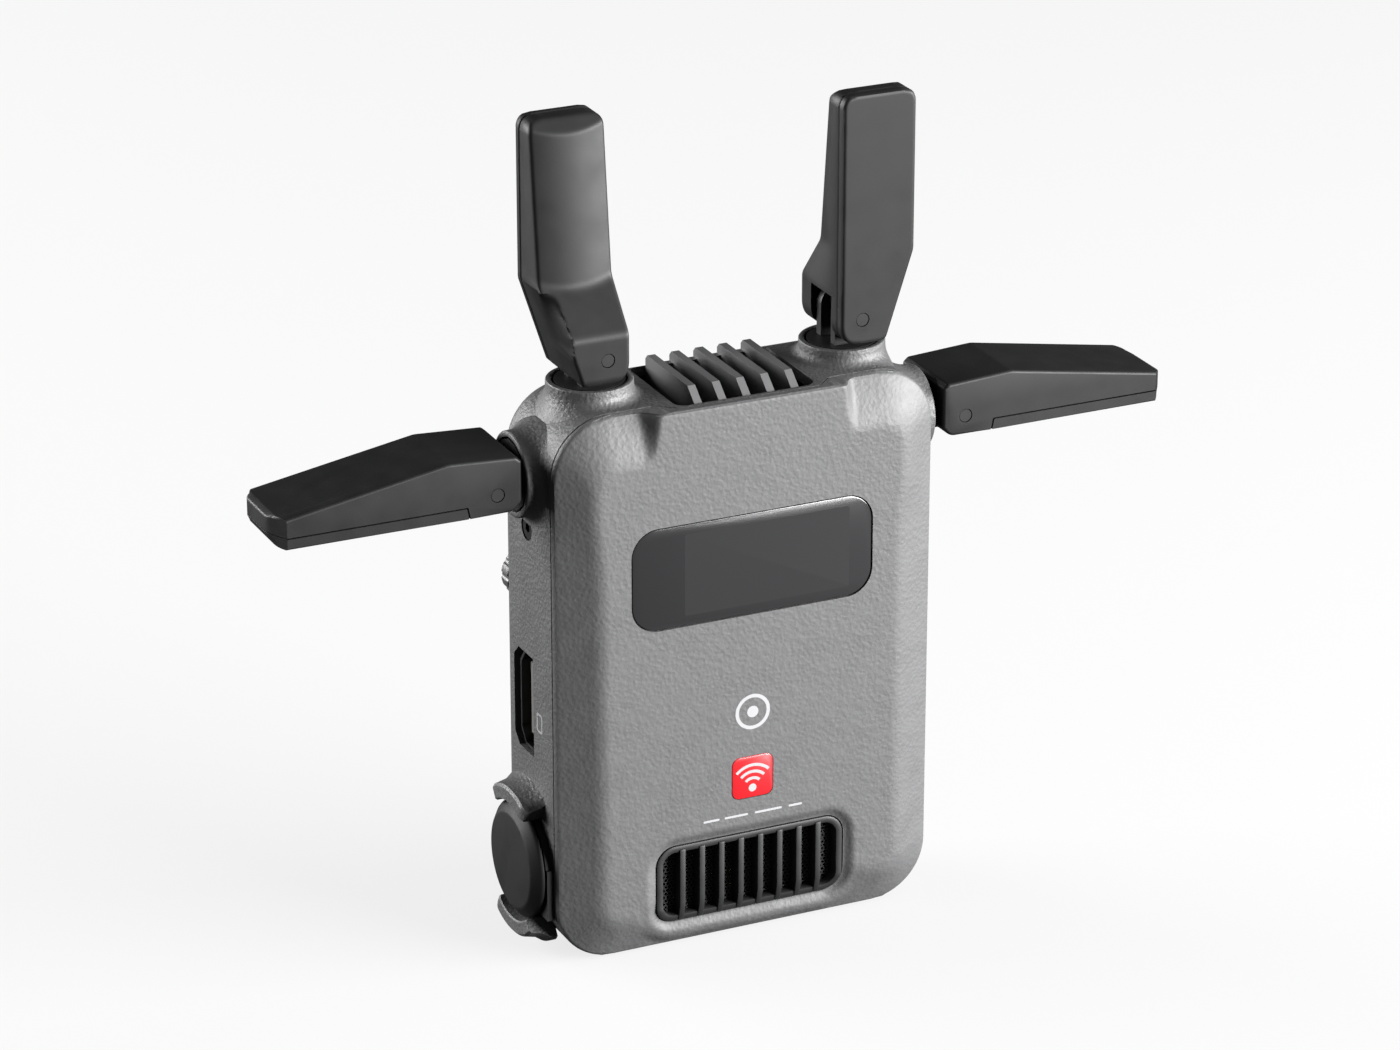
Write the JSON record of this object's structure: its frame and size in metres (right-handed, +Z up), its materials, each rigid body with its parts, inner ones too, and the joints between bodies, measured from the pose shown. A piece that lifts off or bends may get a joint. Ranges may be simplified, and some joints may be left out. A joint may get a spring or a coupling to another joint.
{
  "type": "wireless video receiver",
  "caption": "Compact wireless video receiver with folding paddle antennas, a front display and air intake, finned air outlet, video sockets and a tripod thread.",
  "frame": {"origin": "mouth of the tripod thread, in the middle of the underside", "axes": "+Z up through the thread and the housing, +X to the right seen from the front, -Y out of the front with the display"},
  "size_m": [0.141, 0.0251, 0.1255],
  "materials": {
    "housing_paint": "fine leather grain, satin",
    "cover_paint": "fine leather grain, satin",
    "window_glass": "dark tinted, glossy",
    "panel": "satin",
    "badge_red": "gloss",
    "grille_plastic": "matt",
    "mesh_metal": "matt black",
    "fin_metal": "painted, satin",
    "board": "solder mask",
    "shield": "tinned",
    "chip": "matt",
    "pad": "soft",
    "fan_plastic": "matt",
    "rubber": "soft matt",
    "socket_metal": "plated",
    "dielectric": "white",
    "contact_gold": "plated",
    "insert_brass": "nickel plated",
    "screw_black": "black oxide",
    "screw_bright": "bright",
    "knob_metal": "anodised",
    "button_plastic": "satin",
    "antenna_plastic": "satin charcoal",
    "antenna_base": "matt",
    "radiator_copper": "copper on board"
  },
  "bodies": {
    "housing": {"rear_shell": "housing_paint", "front_cover": "cover_paint", "display_glass": "window_glass", "display_panel": "panel", "role_badge": "badge_red", "vent_grille": "grille_plastic", "vent_mesh": "mesh_metal", "heat_sink": "fin_metal", "main_board": "board", "radio_shields": "shield", "processor": "chip", "thermal_pad": "pad", "fan_frame": "fan_plastic", "seal_gasket": "rubber", "video_socket": "socket_metal", "video_tongue": "fan_plastic", "coax_jack": "socket_metal", "coax_insulator": "dielectric", "coax_contact": "contact_gold", "cap_tether": "rubber", "power_socket": "socket_metal", "power_tongue": "fan_plastic", "tripod_insert": "insert_brass", "cover_screws": "screw_black", "board_screws": "screw_bright", "side_screws": "screw_black", "encoder_body": "fan_plastic", "power_switch": "fan_plastic", "antenna_leads": "fan_plastic"},
    "fan_rotor": {"fan_rotor": "fan_plastic"},
    "connector_cap": {"connector_cap": "rubber"},
    "knob_plunger": {"encoder_plunger": "screw_bright"},
    "control_knob": {"encoder_shaft": "screw_bright", "control_knob": "knob_metal"},
    "power_button": {"power_button": "button_plastic"},
    "top_left_swivel": {"tl_base": "antenna_base"},
    "top_left_antenna": {"tl_pin": "screw_black", "tl_shell": "antenna_plastic", "tl_cover": "antenna_plastic", "tl_radiator": "radiator_copper"},
    "top_right_swivel": {"tr_base": "antenna_base"},
    "top_right_antenna": {"tr_pin": "screw_black", "tr_shell": "antenna_plastic", "tr_cover": "antenna_plastic", "tr_radiator": "radiator_copper"},
    "side_left_swivel": {"sl_base": "antenna_base"},
    "side_left_antenna": {"sl_pin": "screw_black", "sl_shell": "antenna_plastic", "sl_cover": "antenna_plastic", "sl_radiator": "radiator_copper"},
    "side_right_swivel": {"sr_base": "antenna_base"},
    "side_right_antenna": {"sr_pin": "screw_black", "sr_shell": "antenna_plastic", "sr_cover": "antenna_plastic", "sr_radiator": "radiator_copper"}
  },
  "joints": [
    {"name": "fan_spin", "type": "hinge", "parent": "housing", "child": "fan_rotor", "pos_m": [0, -0.006, 0.0234], "axis": [0, 1, 0], "continuous": true},
    {"name": "cap_pull", "type": "slide", "parent": "housing", "child": "connector_cap", "axis": [-1, 0, 0], "range_m": [0, 0.02]},
    {"name": "knob_press", "type": "slide", "parent": "housing", "child": "knob_plunger", "axis": [0, -1, 0], "range_m": [0, 0.0003], "stiffness_N_per_m": 900, "springref_m": -0.0003},
    {"name": "knob_turn", "type": "hinge", "parent": "knob_plunger", "child": "control_knob", "pos_m": [-0.0248, 0, 0.0537], "axis": [0, 1, 0], "continuous": true},
    {"name": "button_press", "type": "slide", "parent": "housing", "child": "power_button", "axis": [-1, 0, 0], "range_m": [0, 0.0003], "stiffness_N_per_m": 900, "springref_m": -0.0003},
    {"name": "top_left_swing", "type": "hinge", "parent": "housing", "child": "top_left_swivel", "pos_m": [-0.02, 0, 0.0917], "axis": [0, 0, 1], "range_deg": [-90, 90]},
    {"name": "top_left_fold", "type": "hinge", "parent": "top_left_swivel", "child": "top_left_antenna", "pos_m": [-0.02, 0, 0.0917], "axis": [0, 1, 0], "range_deg": [0, 90]},
    {"name": "top_right_swing", "type": "hinge", "parent": "housing", "child": "top_right_swivel", "pos_m": [0.02, 0, 0.0917], "axis": [0, 0, 1], "range_deg": [-90, 90]},
    {"name": "top_right_fold", "type": "hinge", "parent": "top_right_swivel", "child": "top_right_antenna", "pos_m": [0.02, 0, 0.0917], "axis": [0, -1, 0], "range_deg": [0, 90]},
    {"name": "side_left_swing", "type": "hinge", "parent": "housing", "child": "side_left_swivel", "pos_m": [-0.0371, 0, 0.0742], "axis": [-1, 0, 0], "range_deg": [-90, 90]},
    {"name": "side_left_fold", "type": "hinge", "parent": "side_left_swivel", "child": "side_left_antenna", "pos_m": [-0.0371, 0, 0.0742], "axis": [0, -1, 0], "range_deg": [0, 90]},
    {"name": "side_right_swing", "type": "hinge", "parent": "housing", "child": "side_right_swivel", "pos_m": [0.0371, 0, 0.0742], "axis": [1, 0, 0], "range_deg": [-90, 90]},
    {"name": "side_right_fold", "type": "hinge", "parent": "side_right_swivel", "child": "side_right_antenna", "pos_m": [0.0371, 0, 0.0742], "axis": [0, 1, 0], "range_deg": [0, 90]}
  ]
}
